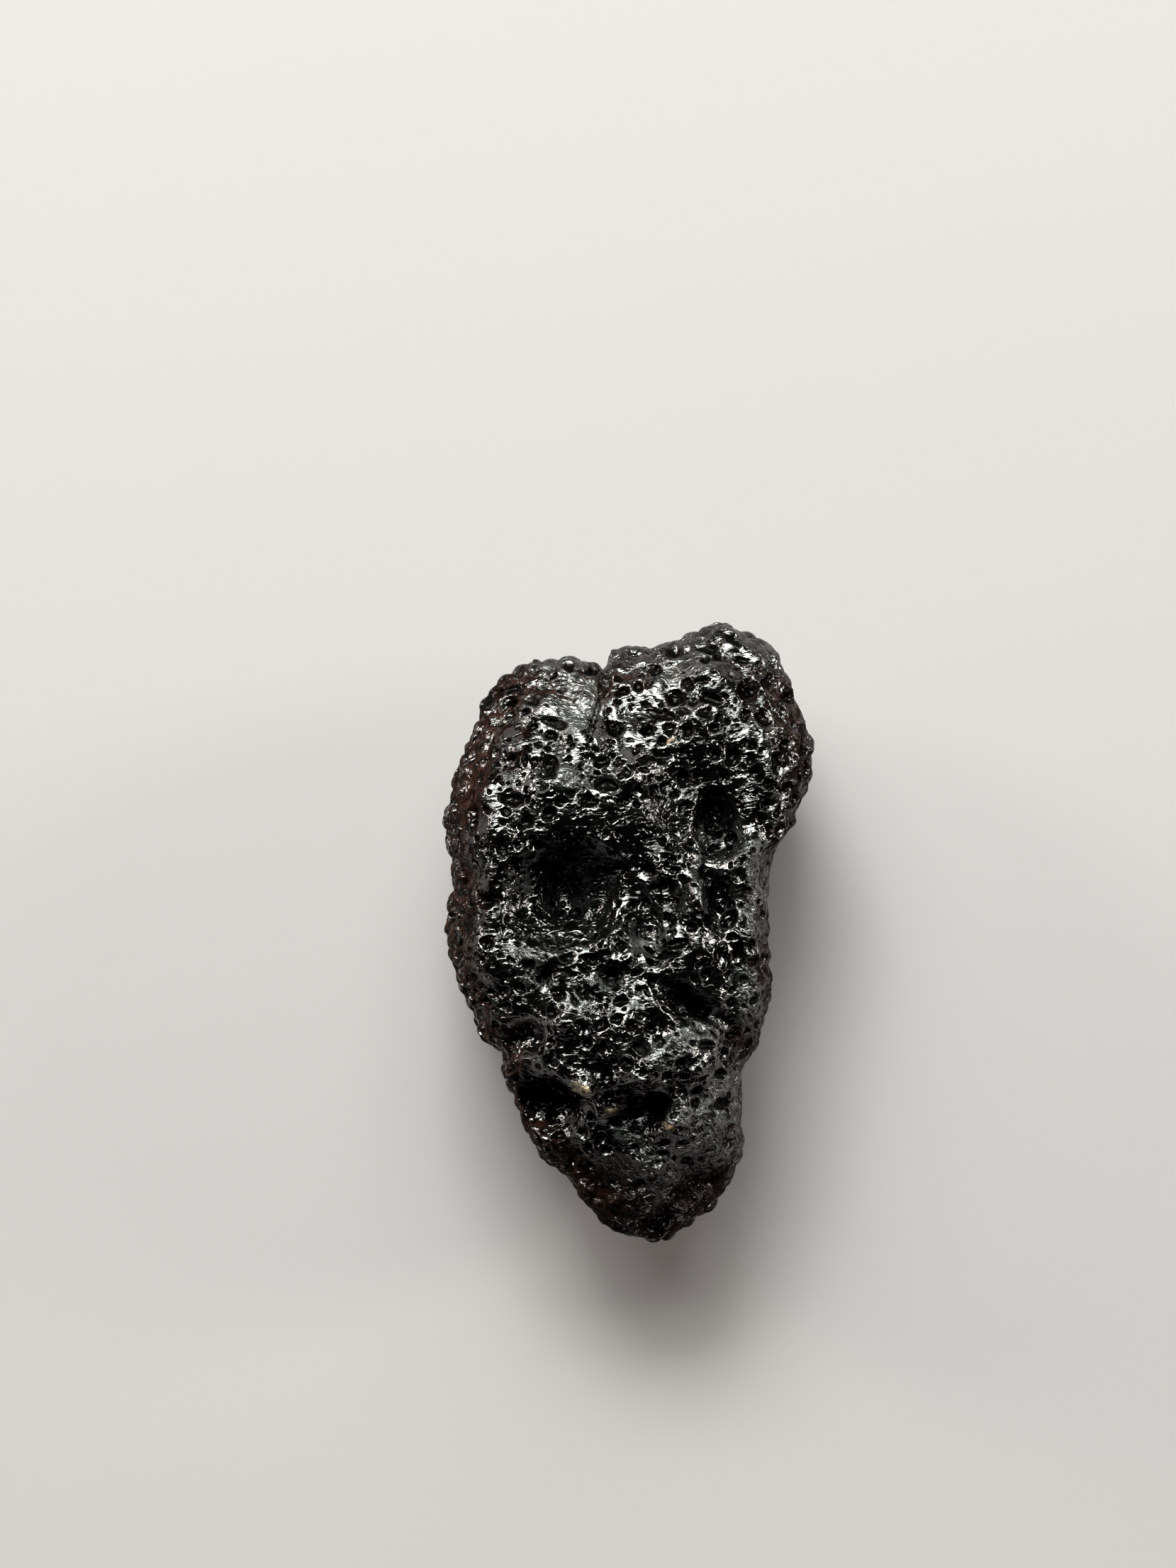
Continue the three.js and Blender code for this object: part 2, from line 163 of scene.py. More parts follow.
# broad relief of the upper side: centre, half length, half width, turn in degrees, rise
upperRelief = [
    (-1.94, 4.41, 5.34, 2.96, 4, 0.6),  # left crest
    (-1.94, 6.74, 2.02, 1.42, 0, 0.25),  # smooth shoulder
    (2.79, 6.96, 2.96, 2.02, 15, 0.3),  # right crest
    (4.55, 5.75, 1.54, 1.9, 0, 0.45),  # square shoulder
    (-4.36, 1.9, 4.74, 0.85, 92, 0.4),  # rib beside the left flank
    (-0.62, 1.51, 5.57, 2.49, 0, -0.7),  # middle valley
    (-1.87, 1.29, 2.13, 1.9, 0, -1.6),  # middle hollow
    (2.66, 3.4, 1.28, 0.9, 95, -1),  # right hollow
    (2.11, 4.67, 1.28, 1.23, 0, -0.45),  # right dell
    (1.98, 3.62, 2.73, 1.9, -30, -0.6),  # right fall
    (2.68, 1.07, 1.19, 0.57, 98, -0.6),  # lower right hollow
    (1.91, 1.13, 1.78, 0.71, 100, 0.5),  # slanted rib
    (2.13, -0.41, 1.19, 1, 0, 0.35),  # knoll under the rib
    (0.44, 0.36, 1.71, 0.76, 108, -0.75),  # slanted groove
    (-2.99, 0.41, 1.57, 1.14, 0, -0.25),  # hollow beside the left rib
    (-2.88, -1.13, 1.57, 1, 0, 0.12),  # left knoll
    (-0.07, -3.49, 5.1, 2.96, 8, 0.65),  # belly
    (3.78, 0.58, 3.08, 0.76, 90, 0.35),  # rib beside the right flank
    (1.89, -2.12, 1.94, 0.71, -35, -0.95),  # diagonal hollow
    (1.58, -3.88, 2.25, 1.33, 20, 0.6),  # diagonal shelf
    (3.26, -2.54, 1, 0.62, -45, -0.3),  # side hollow
    (-2.42, -5.14, 1.52, 1.23, -20, -1.5),  # cave
    (-3.21, -3.05, 0.9, 0.81, 0, -0.65),  # round hollow
    (0.22, -5.18, 1.47, 0.9, -8, -0.7),  # shelf hollow
    (-1.45, -4.59, 0.81, 0.69, -30, 0.5),  # knob
    (-0.57, -5.27, 1.23, 0.47, 8, 0.3),  # ledge
    (2.79, -6.02, 1.42, 2.61, 0, 0.35),  # lower right cheek
    (0.66, -8.92, 0.95, 0.71, 0, -0.4),  # tip hollow
    (2.13, -7.73, 1.38, 0.85, 25, -0.4),  # tip side hollow
    (-0.84, -7.56, 0.95, 1.42, 30, -0.3),  # tip left dell
    (1.85, 6.3, 1.52, 0.9, -15, 0.24),  # top knoll
    (-1.67, 8.11, 1.47, 0.81, -8, 0.3),  # end lip
    (-1.65, -2.58, 0.76, 0.62, 0, 0.3),  # small knoll
    (0, -4.3, 1.04, 0.62, 10, 0.28),  # shelf end
    (1.58, -6.02, 1.66, 1.47, 10, 0.6),  # cheek knoll
]

# broad relief of the underside, in the same order
underRelief = [
    (-2.9, 4.4, 2.6, 1.2, 70, -0.6),  # long trough
    (2.6, 6.6, 1.7, 1.3, 20, -0.6),  # end hollow
    (3, -3.4, 1.6, 1, 75, -0.6),  # flank hollow
    (-0.8, -6.6, 1.6, 1.1, -50, -0.5),  # tip hollow
    (-3.3, -0.9, 2.4, 1.3, 80, 0.35),  # left swell
    (2.9, 2.2, 2.4, 1.2, 95, 0.3),  # right swell
]


def outlineShare(angle):
    # a closed Catmull-Rom curve through the outline points, in units of the plain ellipse, read
    # back as distance from the middle at each angle
    points = np.array(outline) / (stone["width"] / 2, stone["length"] / 2)
    before, after, later = (np.roll(points, -k, axis=0) for k in (-1, 1, 2))
    samples = []
    for t in np.linspace(0, 1, stone["outlineSteps"], endpoint=False):
        samples.append(0.5 * (2 * points + (after - before) * t
                              + (2 * before - 5 * points + 4 * after - later) * t ** 2
                              + (3 * points - before - 3 * after + later) * t ** 3))
    curve = np.concatenate(samples)
    turn = np.arctan2(curve[:, 1], curve[:, 0])
    order = np.argsort(turn)
    return np.interp(angle, turn[order], np.hypot(curve[:, 0], curve[:, 1])[order],
                     period=2 * math.pi)


def ellipsePlace(x, y, centreX, centreY, halfLength, halfWidth, turn):
    # how far each corner is along and across a turned ellipse, in its half length and half width
    turnCos, turnSin = math.cos(math.radians(turn)), math.sin(math.radians(turn))
    along = ((x - centreX) * turnCos + (y - centreY) * turnSin) / halfLength
    across = ((y - centreY) * turnCos - (x - centreX) * turnSin) / halfWidth
    return along, across


def reliefAt(forms, x, y):
    # each form adds rise * (1 - q*q)**2 inside its ellipse, where q is 1 at the ellipse
    total = np.zeros(len(x))
    for *ellipse, rise in forms:
        along, across = ellipsePlace(x, y, *ellipse)
        total += rise * np.clip(1 - along ** 2 - across ** 2, 0, None) ** 2
    return total


def swellAt(points):
    # low swells: three sine waves of about one length, each bent by the next axis, are
    # multiplied in pairs and added up
    x, y, z = points.T
    pitch = 2 * math.pi / stone["swellLength"]
    first = np.sin(x * pitch + 1.7 * np.sin(y * 0.9))
    second = np.sin(y * pitch * 0.9 + 1.3 * np.sin(z * 1.1))
    third = np.sin(z * pitch * 1.1 + 1.5 * np.sin(x * 0.8))
    return stone["swellHeight"] * (first * second + second * third + third * first)


def skinPoints(direction):
    # each direction is pushed out until out**power + up**power is 1, its plan is stretched to the
    # outline, and its height to the crown or the keel, less towards both ends; then the relief,
    # sway * (1 - up*up) and the swells are added, of which only the inward part moves the plan
    power = stone["edgeRoundness"]
    out = np.hypot(direction[:, 0], direction[:, 1])
    reach = (out ** power + np.abs(direction[:, 2]) ** power) ** (1 / power)
    unit = direction / reach[:, None]
    angle = np.arctan2(unit[:, 1], unit[:, 0])
    share = outlineShare(angle)
    x = unit[:, 0] * share * stone["width"] / 2
    y = unit[:, 1] * share * stone["length"] / 2
    up = unit[:, 2]
    along = y / (stone["length"] / 2)
    thickness = (1 - stone["tipThinness"] * smoothStep(-along, -0.1, 1)
                 - stone["endThinness"] * smoothStep(along, 0.05, 1.05))
    z = up * np.where(up > 0, stone["crownHeight"], stone["keelDepth"]) * thickness
    facing = smoothStep(np.abs(up), 0, 0.6)
    relief = np.where(up > 0, reliefAt(upperRelief, x, y), -reliefAt(underRelief, x, y))
    sway = np.sin(2 * angle + 0.7) + 0.6 * np.sin(3 * angle + 2)
    z = z + facing * relief + stone["waistSway"] * sway * (1 - up * up)
    points = np.stack([x, y, z], axis=1)
    swell = swellAt(points)
    inward = np.minimum(swell, 0) * smoothStep(np.abs(up), 0, 0.3)
    points[:, :2] += direction[:, :2] * inward[:, None]
    points[:, 2] += direction[:, 2] * swell
    return points, up


# the grid of the stone's skin

def boxGrid():
    # a box of cells: a fine upper face and fine rows down its sides, then rows with half as many
    # cells and a coarse lower face; returns the corners on the box and the faces
    cellsX, cellsY = stone["upperCells"]
    upperRows, lowerRows = stone["upperRows"], stone["lowerRows"]
    upperShare = stone["upperRowShare"]
    corners = []
    faces = []

    def addFace(nx, ny, z):
        # a flat grid of corners, numbered x first
        start = sum(len(c) for c in corners)
        u, v = np.meshgrid(np.linspace(-1, 1, nx + 1), np.linspace(-1, 1, ny + 1), indexing="ij")
        corners.append(np.stack([u.ravel(), v.ravel(), np.full(u.size, z)], axis=1))
        return start + np.arange((nx + 1) * (ny + 1)).reshape(nx + 1, ny + 1)

    def rimOf(grid):
        # the numbers around a flat grid, anticlockwise from its first corner
        return np.concatenate([grid[:-1, 0], grid[-1, :-1], grid[:0:-1, -1], grid[0, :0:-1]])

    top = addFace(cellsX, cellsY, 1.0)
    faces.append(np.stack([top[:-1, :-1], top[1:, :-1], top[1:, 1:], top[:-1, 1:]],
                          axis=-1).reshape(-1, 4))
    ring = rimOf(top)
    rimPlace = corners[0][ring]
    for row in range(1, upperRows + lowerRows):
        if row <= upperRows:
            down = upperShare * row / upperRows
            place = rimPlace.copy()
        else:
            down = upperShare + (1 - upperShare) * (row - upperRows) / lowerRows
            place = rimPlace[::2].copy()
        place[:, 2] = 1 - 2 * down
        lower = sum(len(c) for c in corners) + np.arange(len(place))
        corners.append(place)
        faces += ringFaces(ring, lower)
        ring = lower
    bottom = addFace(cellsX // 2, cellsY // 2, -1.0)
    faces += ringFaces(ring, rimOf(bottom))
    faces.append(np.stack([bottom[:-1, :-1], bottom[:-1, 1:], bottom[1:, 1:], bottom[1:, :-1]],
                          axis=-1).reshape(-1, 4))
    return np.concatenate(corners), faces


def ringFaces(upper, lower):
    # the faces between two rings: squares, or three triangles where the lower has half as many
    upperNext, lowerNext = np.roll(upper, -1), np.roll(lower, -1)
    if len(upper) == len(lower):
        return [np.stack([lower, lowerNext, upperNext, upper], axis=1)]
    first, middle, last = upper[0::2], upper[1::2], np.roll(upper[0::2], -1)
    return [np.stack([lower, middle, first], axis=1),
            np.stack([lower, lowerNext, middle], axis=1),
            np.stack([lowerNext, last, middle], axis=1)]


def gridDirections(corners):
    # the tangent of a quarter turn spreads the cells evenly over the ball; then each direction
    # goes down by spread times the square of the sine of its angle from the top
    even = np.tan(corners * math.pi / 4)
    even /= np.linalg.norm(even, axis=1)[:, None]
    polar = np.arccos(np.clip(even[:, 2], -1, 1))
    lowered = polar + stone["spread"] * np.sin(polar) ** 2
    ring = np.maximum(np.hypot(even[:, 0], even[:, 1]), 1e-9)
    out = np.sin(lowered) / ring
    return np.stack([even[:, 0] * out, even[:, 1] * out, np.cos(lowered)], axis=1)


def cornerNormals(points, faces):
    # the cross products of the diagonals or sides of the faces around each corner, added up and
    # brought to a length of 1
    total = np.zeros_like(points)
    for block in faces:
        a, b, c = points[block[:, 0]], points[block[:, 1]], points[block[:, 2]]
        d = points[block[:, 3]] if block.shape[1] == 4 else b
        normal = np.cross(c - a, d - b) if block.shape[1] == 4 else np.cross(b - a, c - a)
        for column in block.T:
            for axis in range(3):
                total[:, axis] += np.bincount(column, normal[:, axis], len(points))
    return total / np.maximum(np.linalg.norm(total, axis=1), 1e-12)[:, None]


# pits, the crack and the fine relief

detail = {
    "holeDepth": 0.5,  # depth of a pit's hole, in its half widths
    "holeEdge": 0.75,  # where the hole ends, as a share of the pit
    "lipDepth": 0.12,  # depth of the rounded lip around it
    "rimHeight": 0.04,
    "rimPlace": 1.12,  # where the rim is highest, just outside the pit
    "rimWidth": 0.2,
    "pitRaggedness": 0.06,  # how far the pits' outlines stray, mm
    "pitRaggedSize": 0.35,
    "scatterSizes": (0.8, 0.56),  # spacing of the scattered pits, mm
    "scatterRadius": (0.15, 0.33),  # the least radius and how much more, in spacings
    "beadSize": 0.5,  # spacing of the beads of the flanks, mm
    "beadHeight": 0.24,
    "lumpSize": 0.9,
    "lumpHeight": 0.045,
    "wrinkleSize": 0.6,
    "wrinkleHeight": 0.008,
    "drawnIn": 0.03,  # how far the whole skin is drawn in
    "beadsDrawnIn": 0.1,  # and how much more where there are beads, so their tops don't stand out
    "crackLine": [(-0.72, 8.6), (-0.74, 8.1), (-0.82, 7.45), (-1.05, 6.8), (-1.2, 6.1),
                  (-1.1, 5.6), (-1.5, 5.05), (-1.95, 4.65)],  # in from the notch
    "crackDepth": 0.34,
    "crackHalfWidth": 0.09,
    "crackFade": 0.65,  # share lost by the end of the line
    "crackStep": 0.09,  # drop of the skin on the -x side
    "crackStepWidth": 0.6,
    "placeRaggedness": 0.25,  # how far the edges of the places below stray, mm
    "placeRaggedSize": 0.9,
    "placeEdge": {"sheen": 1.6, "smooth": 1.8, "wrinkle": 2, "rind": 1.5, "speck": 1.5,
                  "paintedShade": 1.5},  # how steeply each kind of place begins
}

# places where the skin differs: centre, half length, half width, turn, strength
skinPlaces = {
    "sheen": [  # silky and rougher, with a paler grey-green colour that is a painted sheen
        (3.75, 1.3, 2.2, 0.7, 92, 1.0), (3.2, -5.5, 2.4, 1.0, 95, 0.8),
        (1.6, -3.2, 1.4, 0.5, 20, 0.5), (1.9, -5.1, 1.0, 0.6, 20, 0.9),
        (-3.1, -0.45, 1.1, 0.4, 6, 0.7), (3.8, -1.9, 1.5, 0.6, 98, 0.8),
        (-1.6, -2.1, 0.8, 0.4, -50, 0.6), (1.9, -2.9, 1.3, 0.5, 20, 0.8),
        (-0.9, -1.4, 0.9, 0.4, 0, 0.7), (0.15, -3.5, 0.6, 0.3, 20, 0.8),
        (-1.7, -4.5, 0.4, 0.3, 0, 0.5), (1.5, 8.2, 1.8, 0.6, 10, 0.4),
        (-2.6, -1.2, 0.9, 0.4, -15, 0.8), (-0.1, -5.95, 0.7, 0.3, -20, 0.6),
        (-1.6, 4.8, 1.2, 0.4, 0, 0.4),
    ],
    "smooth": [  # hardly pitted, gently rippled, and paler with a painted sheen
        (-1.45, 7.3, 1.5, 0.85, 65, 0.85), (-3.3, 8.2, 1.7, 0.6, 15, 0.6),
        (-1.9, 4.75, 0.6, 0.35, -30, 0.5), (-2.7, 7.3, 1.1, 0.6, 45, 0.45),
    ],
    "speck": [  # dried earth in the skin
        (1.17, 6.04, 0.24, 0.16, 30, 1.0), (-1.45, -4.6, 0.4, 0.3, -40, 0.7),
        (-0.1, -5.05, 0.3, 0.12, 10, 0.8), (1.17, -5.8, 0.25, 0.15, 0, 0.7),
        (-0.6, -5.25, 0.35, 0.12, 8, 0.6),
    ],
    "paintedShade": [  # painted shade: dull and black, mostly in the hollows, and on some other spots to darken them
        (-1.85, 2.3, 1.3, 1.05, -10, 1.0), (2.66, 3.5, 0.9, 0.6, 95, 1.0),
        (-2.45, -4.9, 1.2, 0.9, -20, 1.0), (0.05, -4.95, 0.85, 0.35, -8, 0.8),
        (2.6, 1.3, 0.8, 0.3, 98, 0.65), (1.9, -2.05, 1.4, 0.42, -35, 0.7),
        (-4.5, 7.1, 0.7, 0.5, 0, 0.7), (-3.9, 4.9, 0.6, 0.4, 0, 0.55),
        (0.35, 6.3, 0.8, 0.4, 0, 0.6), (3.1, 6.4, 0.7, 0.5, 0, 0.5),
        (0.9, 4.3, 0.6, 1.0, 0, 0.6), (3.95, 4.6, 0.5, 0.8, 0, 0.6),
        (4.9, 5.4, 0.5, 0.9, 0, 0.45), (-4.8, 0.6, 0.5, 0.6, 0, 0.35),
        (-0.8, -2.2, 0.4, 0.3, 0, 0.5), (1.2, 0.9, 0.5, 0.6, 0, 0.7),
        (-2.5, 5.85, 0.9, 0.4, 0, 0.6), (0.95, 2.7, 0.6, 0.45, 0, 1.0),
        (1.95, 4.55, 0.5, 0.5, 0, 0.5), (1.0, -0.2, 0.6, 0.5, 0, 0.6),
        (2.7, -0.4, 0.5, 0.35, 0, 0.5), (0.25, -2.05, 0.5, 0.4, 0, 0.4),
        (-0.5, -4.6, 0.9, 0.35, 10, 0.5), (-3.0, -6.0, 0.5, 0.4, 0, 0.4),
        (2.7, 9.2, 0.5, 0.35, 0, 0.4), (-4.0, 0.4, 0.5, 0.8, 0, 0.3),
        (1.3, -1.0, 0.5, 0.4, 0, 0.5), (-0.4, -0.2, 0.4, 0.4, 0, 0.45),
        (-0.2, -8.1, 0.8, 0.5, 0, 0.5), (1.6, -8.4, 0.7, 0.5, 0, 0.4),
    ],
    "rind": [  # brownish rind, partly the stone's own brown and partly a painted warm reflection, beside that of the flanks
        (-4.3, 7.7, 1.4, 0.7, 50, 1.0), (-3.4, 5.8, 1.0, 0.4, 80, 0.6),
        (-4.6, 4.6, 1.2, 0.5, 80, 0.6), (2.3, -8.0, 0.9, 0.6, 40, 0.8),
        (-0.9, -8.2, 1.3, 0.8, 100, 0.6),
    ],
    "wrinkle": [  # finely wrinkled
        (0.4, -7.9, 2.6, 1.9, 0, 1.0), (2.2, -6.3, 1.2, 1.4, 0, 0.8),
    ],
}

skinNames = ("sheen", "smooth", "wrinkle", "flank", "rim", "rind", "paintedShade", "speck", "pitReach",
             "pitSize")

# pits of the upper side: centre, half length, half width, turn in degrees
pits = [
    (-1.91, 8.2, 0.22, 0.18, 0), (-1.19, 8.15, 0.42, 0.13, 0), (-2.4, 7.93, 0.24, 0.15, 40),
    (-3.63, 7.2, 0.26, 0.2, 0), (-3.01, 7.16, 0.24, 0.22, 0), (-3.21, 6.81, 0.18, 0.13, 0),
    (-3.61, 7.56, 0.4, 0.13, 10), (-2.27, 6.5, 0.48, 0.2, -10), (-2.42, 6.13, 0.22, 0.15, 0),
    (-2.53, 5.18, 0.42, 0.4, 0), (-3.15, 5.73, 0.2, 0.15, 20), (-2.97, 6.39, 0.18, 0.18, 0),
    (-0.24, 7.49, 0.31, 0.2, 10), (-0.44, 6.3, 0.33, 0.26, 0), (0.51, 6.3, 0.29, 0.26, 0),
    (-0.88, 5.29, 0.26, 0.2, 0), (-0.18, 5.05, 0.29, 0.26, 0), (0.42, 5.38, 0.18, 0.22, 90),
    (-0.79, 4.63, 0.57, 0.29, -12), (1.28, 8.74, 0.35, 0.33, 0), (0.81, 8.17, 0.2, 0.18, 0),
    (0.26, 7.62, 0.22, 0.2, 0), (2.35, 8.79, 0.53, 0.18, 0), (2.68, 8.59, 0.2, 0.18, 0),
    (2.29, 8.5, 0.2, 0.15, 0), (3.17, 9.07, 0.35, 0.2, -40), (3.41, 8.44, 0.31, 0.13, -10),
    (2.2, 7.8, 0.29, 0.13, 0), (1.76, 7.67, 0.2, 0.18, 0), (2.46, 7.25, 0.68, 0.24, -25),
    (1.36, 7.27, 0.33, 0.29, 0), (1.91, 7.16, 0.22, 0.2, 0), (1.52, 6.88, 0.35, 0.18, -10),
    (2.31, 6.79, 0.35, 0.22, 10), (3.63, 7.51, 0.42, 0.37, 0), (4.18, 7.75, 0.24, 0.26, 90),
    (4.88, 7.29, 0.24, 0.22, 0), (3.52, 6.74, 0.24, 0.22, 0), (4.07, 6.63, 0.44, 0.24, -60),
    (2.53, 6.33, 0.22, 0.22, 0), (5.32, 6.3, 0.18, 0.15, 0), (5.28, 5.62, 0.18, 0.18, 0),
    (5.37, 5.07, 0.29, 0.15, 90), (3.61, 5.38, 0.24, 0.2, 90), (1.06, 6.74, 0.7, 0.18, -8),
    (4.44, 5.25, 0.53, 0.18, 90), (0.92, 5.51, 0.53, 0.22, 0), (-3.59, 4.17, 0.48, 0.26, -5),
    (-3.12, 3.51, 0.31, 0.26, 0), (-1.32, 4.1, 0.35, 0.22, 0), (-0.33, 2.06, 0.31, 0.29, 0),
    (-3.87, 2.67, 0.33, 0.22, 90), (-4.33, 1.11, 0.35, 0.29, 0), (-4.33, -0.19, 0.26, 0.24, 0),
    (-3.26, 0.69, 0.22, 0.18, 0), (-2.93, -0.08, 0.26, 0.2, 0), (-2.46, -0.08, 0.2, 0.18, 0),
    (-3.12, -0.8, 0.26, 0.22, 0), (-1.8, 0.36, 0.31, 0.15, 0), (-1.69, 0.69, 0.24, 0.18, 0),
    (-0.35, -0.21, 0.48, 0.46, 0), (-0.62, -1.2, 0.48, 0.4, 0), (-1.17, -0.65, 0.22, 0.2, 0),
    (-1.91, -0.56, 0.29, 0.22, 0), (-2.57, -1.22, 0.48, 0.29, 85), (-3.37, -1.55, 0.22, 0.18, 0),
    (1.83, 2.78, 0.29, 0.22, -20), (0.51, 1.99, 0.33, 0.31, 0), (4.14, 3.97, 0.24, 0.22, 0),
    (2.73, -0.54, 0.44, 0.24, 80), (3.26, -0.41, 0.35, 0.2, 90), (3.67, -0.3, 0.26, 0.18, 90),
    (3.74, -0.78, 0.22, 0.18, 0), (2.4, 0.56, 0.26, 0.24, 0), (1.8, 0.36, 0.24, 0.2, 0),
    (2.24, -1.09, 0.22, 0.2, 0), (1.36, -0.16, 0.53, 0.15, 10), (1.1, -0.52, 0.44, 0.13, 5),
    (-3.83, -2.08, 0.2, 0.15, 0), (-0.4, -2.45, 0.26, 0.18, 10), (-0.92, -2.61, 0.24, 0.18, 0),
    (0.26, -3.29, 0.37, 0.31, 0), (0.59, -2.74, 0.22, 0.18, 0), (2.24, -3.18, 0.33, 0.18, 0),
    (3.12, -3, 0.26, 0.18, 0), (3.92, -2.74, 0.18, 0.2, 90), (3.78, -1.97, 0.2, 0.18, 0),
    (1.5, -3.77, 0.2, 0.2, 0), (1.1, -4.13, 0.22, 0.2, 0), (1.61, -4.24, 0.22, 0.2, 0),
    (2.82, -4.17, 0.29, 0.22, 0), (2.82, -5.14, 0.46, 0.29, 0), (0.84, -5.05, 0.48, 0.33, 0),
    (-0.44, -5.64, 0.31, 0.22, 0), (-0.7, -6.55, 0.22, 0.18, 0), (1.03, -6.28, 0.26, 0.18, 0),
    (-2.16, -6.13, 0.22, 0.18, 0), (3.45, -1.35, 0.2, 0.18, 0), (4.11, -1.73, 0.15, 0.15, 0),
    (-5.46, 0.58, 0.2, 0.2, 0), (-5.19, -0.3, 0.2, 0.2, 0), (-4.84, -1.29, 0.2, 0.18, 0),
    (-4.36, -1.95, 0.2, 0.18, 0), (2.57, 5.53, 0.26, 0.26, 0), (1.58, 3.88, 0.26, 0.2, 60),
    (4.66, 5.86, 0.2, 0.2, 0), (4.77, 4.54, 0.2, 0.18, 0), (-4.14, -2.72, 0.2, 0.18, 0),
    (-3.7, -4.04, 0.2, 0.18, 0), (-2.09, -1.57, 0.35, 0.14, 100), (-1.28, -1.62, 0.44, 0.16, -62),
    (-1.72, -1.88, 0.29, 0.13, -65), (-2.4, -2.17, 0.29, 0.22, 75),
]


def placedPits(x, y):
    # how far each corner is from the middle of the nearest pit, as the root of along**2 +
    # across**2, which is 1 at that pit's edge, and the pit's half width
    reach = np.full(len(x), farAway)
    size = np.zeros(len(x))
    for ellipse in pits:
        px, py, halfLength, halfWidth, _ = ellipse
        near = np.flatnonzero(np.abs(x - px) + np.abs(y - py) < 3 * max(halfLength, halfWidth))
        pitReach = np.hypot(*ellipsePlace(x[near], y[near], *ellipse))
        closer = pitReach < reach[near]
        reach[near[closer]] = pitReach[closer]
        size[near[closer]] = min(halfLength, halfWidth)
    return reach, size


def scatteredPits(points, spacing, seed):
    # the same for one round pit to a cell, with a radius of spacing * (least + more * n**1.6),
    # where n is the seed's number, so that most are small
    least, more = detail["scatterRadius"]
    away, number = nearestSeeds(points, spacing, seed)
    radius = spacing * (least + more * number ** 1.6)
    return away / radius, radius


def pitRelief(reach, size):
    # hole: -(1 - (reach / hole edge)**3) up to its edge; lip: a shallow -(1 - reach**3) up to
    # the pit's edge; rim: a narrow bell just outside; all grow with the half width
    hole = detail["holeDepth"] * np.clip(1 - (reach / detail["holeEdge"]) ** 3, 0, None)
    lip = detail["lipDepth"] * np.clip(1 - reach ** 3, 0, None)
    rim = detail["rimHeight"] * np.exp(-((reach - detail["rimPlace"]) / detail["rimWidth"]) ** 2)
    return size * (rim - hole - lip)


def crackRelief(x, y):
    # a groove along a bent line: depth * (1 - distance / half width) while that is over 0; on
    # the -x side the skin drops by a low step; both die away towards the end of the line
    height = np.zeros(len(x))
    line = np.array(detail["crackLine"])
    whole = np.hypot(*np.diff(line, axis=0).T).sum()
    gone = 0.0
    nearest = np.full(len(x), farAway)
    for start, end in zip(line[:-1], line[1:]):
        run = end - start
        length = np.hypot(*run)
        t = np.clip(((x - start[0]) * run[0] + (y - start[1]) * run[1]) / length ** 2, 0, 1)
        dx, dy = x - start[0] - t * run[0], y - start[1] - t * run[1]
        away = np.hypot(dx, dy)
        side = np.sign(run[0] * dy - run[1] * dx)
        fade = 1 - detail["crackFade"] * (gone + t * length) / whole
        halfWidth = detail["crackHalfWidth"] * (0.5 + fade)
        groove = detail["crackDepth"] * np.clip(1 - away / halfWidth, 0, 1)
        drop = (detail["crackStep"] * smoothStep(-side * away, -0.02, 0.02)
                * np.clip(1 - away / detail["crackStepWidth"], 0, 1))
        better = away < nearest
        height = np.where(better, -(groove + drop) * np.sqrt(np.clip(fade, 0, 1)), height)
        nearest = np.where(better, away, nearest)
        gone += length
    return height


def placeShare(places, x, y):
    # strength * (1 - q*q) inside each ellipse, and the strongest wins
    share = np.zeros(len(x))
    for *ellipse, strength in places:
        along, across = ellipsePlace(x, y, *ellipse)
        share = np.maximum(share, strength * np.clip(1 - along ** 2 - across ** 2, 0, 1))
    return share


def skinShares(points, up):
    # how much of each kind of skin there is at each corner, 0 to 1. The placed kinds come from
    # their ellipses on the upper side, and the underside has sheens and wrinkles in patches. The
    # flank is the rim, stronger at the left and the far end, with the tip added
    x, y, _ = points.T
    upper = smoothStep(up, 0.02, 0.2)
    ragged, raggedSize = detail["placeRaggedness"], detail["placeRaggedSize"]
    x = x + ragged * layeredNoise(points, raggedSize, 101, 3)
    y = y + ragged * layeredNoise(points, raggedSize, 111, 3)
    shares = {kind: np.clip(placeShare(places, x, y) * detail["placeEdge"][kind], 0, 1) * upper
              for kind, places in skinPlaces.items()}
    patchy = 0.5 + 0.5 * layeredNoise(points, 1.6, 71, 2)
    shares["sheen"] += (1 - upper) * 0.5 * smoothStep(patchy, 0.5, 0.9)
    shares["wrinkle"] += (1 - upper) * 0.5 * smoothStep(patchy, 0.6, 0.9)
    rim = 1 - smoothStep(np.abs(up), 0.45, 0.8)
    leftSide = smoothStep(-x, 1.0, 3.5)
    rightSide = smoothStep(x, 1.0, 3.5)
    farEnd = smoothStep(y, 6.0, 8.5)
    tip = smoothStep(-y, 6.2, 8.5)
    flank = np.clip(rim * (0.45 + 0.55 * np.maximum(leftSide, farEnd * 0.7)), 0, 1)
    shares["flank"] = np.clip(flank + tip * 0.7, 0, 1)
    shares["rim"] = ((1 - smoothStep(up, 0.6, 0.88)) * (1 - 0.2 * rightSide)
                     * (1 - 0.6 * smoothStep(y, 7.4, 8.6)))
    return shares


